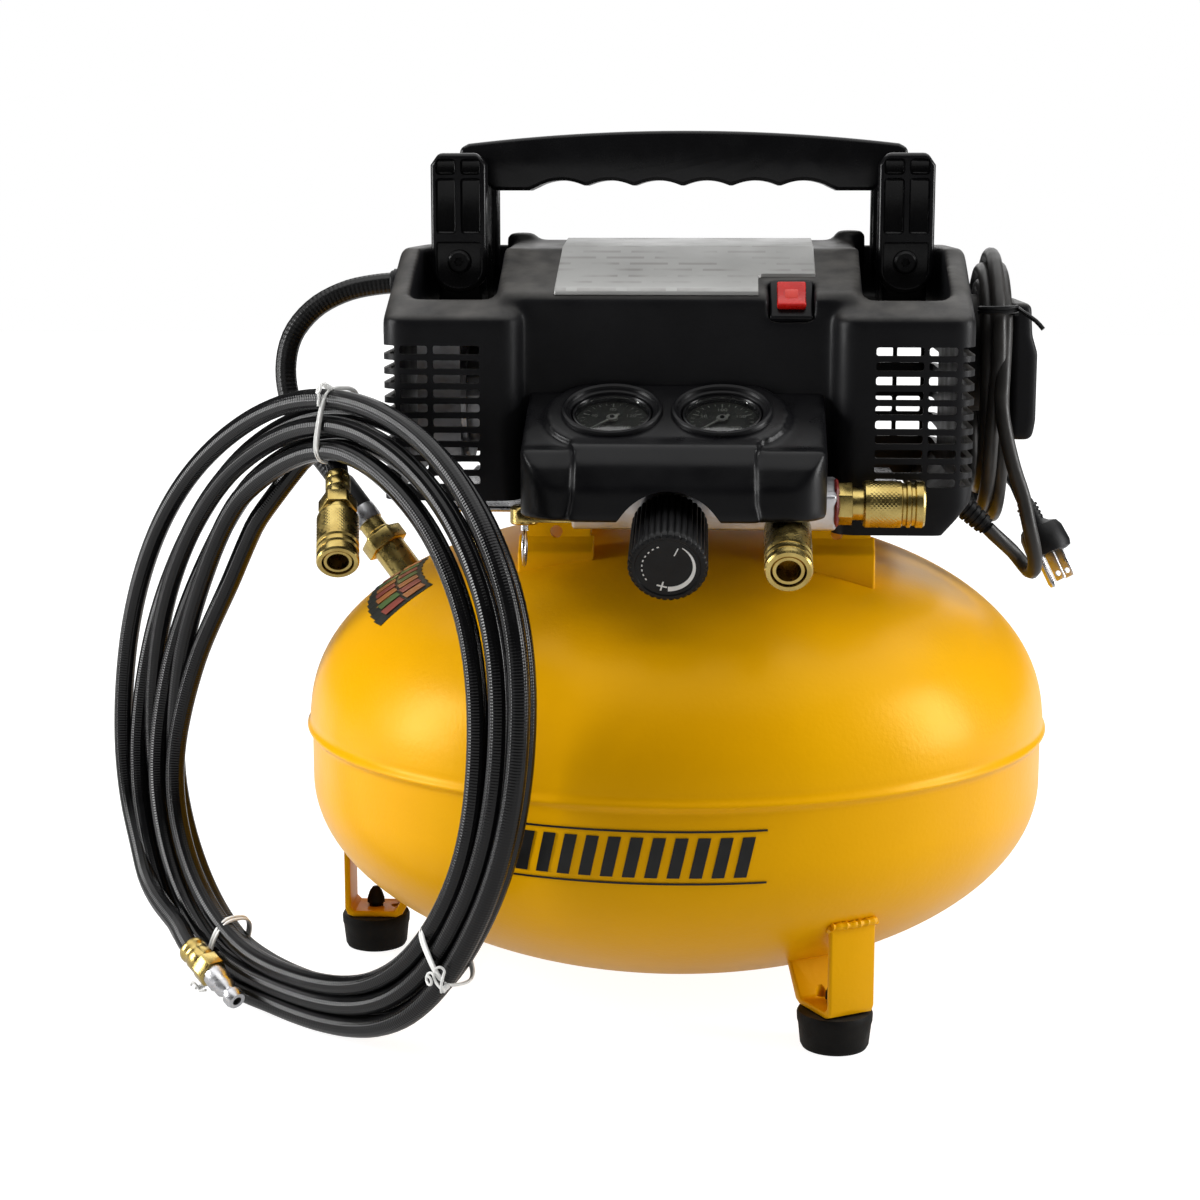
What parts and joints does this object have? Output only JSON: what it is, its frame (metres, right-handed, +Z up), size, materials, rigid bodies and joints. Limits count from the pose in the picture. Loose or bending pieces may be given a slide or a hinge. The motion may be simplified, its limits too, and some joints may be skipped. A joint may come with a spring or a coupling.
{
  "type": "air compressor",
  "caption": "Portable pancake air compressor with a low round tank, covered pump and motor, carrying handle, gauge console, regulator knob, quick couplers, power cord and coiled air hose.",
  "frame": {"origin": "on the floor under the middle of the machine's outline, hoses and cord left out", "axes": "+Z up, -Y the front with gauges and knob, +X the power cord side"},
  "size_m": [0.5495, 0.452, 0.474],
  "materials": {
    "yellow_paint": "semi-gloss sprayed paint",
    "black_rubber": "matt black rubber",
    "zinc_steel": "zinc plated",
    "black_plastic": "fine moulded grain",
    "grey_rubber": "soft moulded vinyl",
    "switch_red": "smooth moulding",
    "needle_white": "matt",
    "clear_lens": "clear",
    "cast_alloy": "as cast",
    "brass": "turned, lightly aged"
  },
  "bodies": {
    "machine": {"air_hose_coil": "black_rubber", "base_plate": "zinc_steel", "check_valve": "brass", "console": "black_plastic", "cord_wrap": "black_plastic", "cover_front": "black_plastic", "cover_rear": "black_plastic", "crankcase": "cast_alloy", "cylinder": "cast_alloy", "cylinder_head": "cast_alloy", "discharge_hose": "black_rubber", "drain_valve": "brass", "drive_belt": "black_rubber", "foot_bracket_1": "yellow_paint", "foot_bracket_2": "yellow_paint", "foot_bracket_3": "yellow_paint", "front_coupler_body": "brass", "handle_bolt_front_left": "zinc_steel", "handle_bolt_front_right": "zinc_steel", "handle_bolt_rear_left": "zinc_steel", "handle_bolt_rear_right": "zinc_steel", "handle_front": "black_plastic", "handle_rear": "black_plastic", "hose_coupler_body": "brass", "hose_grommet": "grey_rubber", "hose_plug": "zinc_steel", "manifold": "cast_alloy", "motor_housing": "cast_alloy", "outlet_gauge_case": "zinc_steel", "outlet_gauge_lens": "clear_lens", "power_cord_hank": "black_rubber", "power_cord_lead": "black_rubber", "power_cord_tail": "black_rubber", "power_plug": "grey_rubber", "pump_bracket_left": "yellow_paint", "pump_bracket_right": "yellow_paint", "regulator_body": "cast_alloy", "rubber_foot_1": "black_rubber", "rubber_foot_2": "black_rubber", "rubber_foot_3": "black_rubber", "safety_valve": "brass", "side_coupler_body": "brass", "strain_relief": "grey_rubber", "tank_gauge_case": "zinc_steel", "tank_gauge_lens": "clear_lens", "tank_lower": "yellow_paint", "tank_upper": "yellow_paint"},
    "knob": {"regulator_knob": "black_plastic"},
    "rocker": {"switch_rocker": "switch_red"},
    "front_sleeve": {"front_coupler_sleeve": "brass"},
    "side_sleeve": {"side_coupler_sleeve": "brass"},
    "hose_sleeve": {"hose_coupler_sleeve": "brass"},
    "relief_ring": {"safety_ring": "zinc_steel"},
    "drain": {"drain_key": "brass"},
    "tank_needle": {"tank_gauge_needle": "needle_white"},
    "outlet_needle": {"outlet_gauge_needle": "needle_white"},
    "crank": {"flywheel": "zinc_steel"},
    "motor": {"motor_shaft": "zinc_steel", "cooling_fan": "black_plastic"},
    "piston": {"wobble_piston": "zinc_steel"}
  },
  "joints": [
    {"name": "knob_turn", "type": "hinge", "parent": "machine", "child": "knob", "pos_m": [0.0143, -0.134, 0.2838], "axis": [0, -0.9135, -0.4067], "range_deg": [-450, 450]},
    {"name": "rocker_tip", "type": "hinge", "parent": "machine", "child": "rocker", "pos_m": [0.0753, -0.09154, 0.38118], "axis": [1, 0, 0], "range_deg": [0, 12]},
    {"name": "front_sleeve_slide", "type": "slide", "parent": "machine", "child": "front_sleeve", "axis": [0, 0.9135, 0.4067], "range_m": [0, 0.005], "stiffness_N_per_m": 400, "springref_m": -0.005},
    {"name": "side_sleeve_slide", "type": "slide", "parent": "machine", "child": "side_sleeve", "axis": [-1, 0, 0], "range_m": [0, 0.005], "stiffness_N_per_m": 400, "springref_m": -0.005},
    {"name": "hose_sleeve_slide", "type": "slide", "parent": "machine", "child": "hose_sleeve", "axis": [-0.127, 0.8118, 0.5699], "range_m": [0, 0.005], "stiffness_N_per_m": 400, "springref_m": -0.005},
    {"name": "relief_ring_pull", "type": "slide", "parent": "machine", "child": "relief_ring", "axis": [0, 0, -1], "range_m": [0, 0.003], "stiffness_N_per_m": 300, "springref_m": -0.003},
    {"name": "drain_turn", "type": "hinge", "parent": "machine", "child": "drain", "pos_m": [0.0135, 0.12, 0.0165], "axis": [0, 1, 0], "range_deg": [0, 90]},
    {"name": "tank_needle_turn", "type": "hinge", "parent": "machine", "child": "tank_needle", "pos_m": [-0.0162, -0.1325, 0.3305], "axis": [0, 0.4067, -0.9135], "range_deg": [0, 270]},
    {"name": "outlet_needle_turn", "type": "hinge", "parent": "machine", "child": "outlet_needle", "pos_m": [0.04, -0.1325, 0.3305], "axis": [0, 0.4067, -0.9135], "range_deg": [0, 270]},
    {"name": "crank_spin", "type": "hinge", "parent": "machine", "child": "crank", "pos_m": [-0.0295, 0, 0.331], "axis": [0, 1, 0], "continuous": true},
    {"name": "motor_spin", "type": "hinge", "parent": "machine", "child": "motor", "pos_m": [0.0755, 0, 0.327], "axis": [0, 1, 0], "continuous": true},
    {"name": "piston_stroke", "type": "slide", "parent": "machine", "child": "piston", "axis": [-1, 0, 0], "range_m": [-0.01, 0.01]}
  ],
  "couplings": [
    {"joint": "crank_spin", "follows": "motor_spin", "ratio": 0.25}
  ]
}
